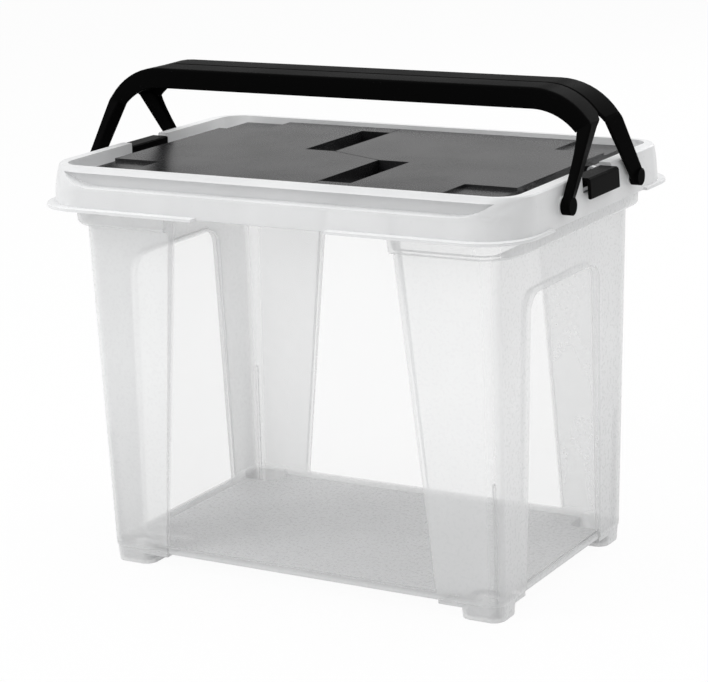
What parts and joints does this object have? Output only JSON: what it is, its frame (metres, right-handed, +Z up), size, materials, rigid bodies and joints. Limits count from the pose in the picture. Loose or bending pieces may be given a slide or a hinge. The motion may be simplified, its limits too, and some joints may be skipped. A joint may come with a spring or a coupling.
{
  "type": "portable file box",
  "caption": "Clear tub for hanging folders with a lid frame, two winged flaps, end latches and two folding carrying handles.",
  "frame": {"origin": "middle of the box on the table, under the feet", "axes": "+X along the long side to the right, +Y to the back, +Z up"},
  "size_m": [0.3734, 0.263, 0.3388],
  "materials": {
    "clear_tub": "clear polypropylene, faintly frosted",
    "frosted_lid": "milky translucent polypropylene, satin",
    "black_wing": "satin black with a fine grain",
    "black_handle": "smooth black, soft gloss",
    "black_latch": "smooth black, satin"
  },
  "bodies": {
    "tub": {"tub": "clear_tub"},
    "lid": {"lid_frame": "frosted_lid"},
    "wing_left": {"left_wing": "black_wing"},
    "wing_right": {"right_wing": "black_wing"},
    "handle_front": {"front_handle": "black_handle"},
    "handle_rear": {"rear_handle": "black_handle"},
    "latch_left": {"left_latch": "black_latch"},
    "latch_right": {"right_latch": "black_latch"}
  },
  "joints": [
    {"name": "lid_lift", "type": "slide", "parent": "tub", "child": "lid", "axis": [0, 0, 1], "range_m": [0, 0.12]},
    {"name": "front_handle_fold", "type": "hinge", "parent": "lid", "child": "handle_front", "pos_m": [0, -0.0536, 0.26995], "axis": [1, 0, 0], "range_deg": [0, 104]},
    {"name": "rear_handle_fold", "type": "hinge", "parent": "lid", "child": "handle_rear", "pos_m": [0, 0.0536, 0.26995], "axis": [-1, 0, 0], "range_deg": [0, 104]},
    {"name": "left_wing_open", "type": "hinge", "parent": "lid", "child": "wing_left", "pos_m": [-0.1592, 0, 0.27565], "axis": [0, -1, 0], "range_deg": [0, 13]},
    {"name": "right_wing_open", "type": "hinge", "parent": "lid", "child": "wing_right", "pos_m": [0.1592, 0, 0.27565], "axis": [0, 1, 0], "range_deg": [0, 13]},
    {"name": "left_latch_open", "type": "hinge", "parent": "lid", "child": "latch_left", "pos_m": [-0.1736, 0, 0.27815], "axis": [0, 1, 0], "range_deg": [0, 80]},
    {"name": "right_latch_open", "type": "hinge", "parent": "lid", "child": "latch_right", "pos_m": [0.1736, 0, 0.27815], "axis": [0, -1, 0], "range_deg": [0, 80]}
  ]
}
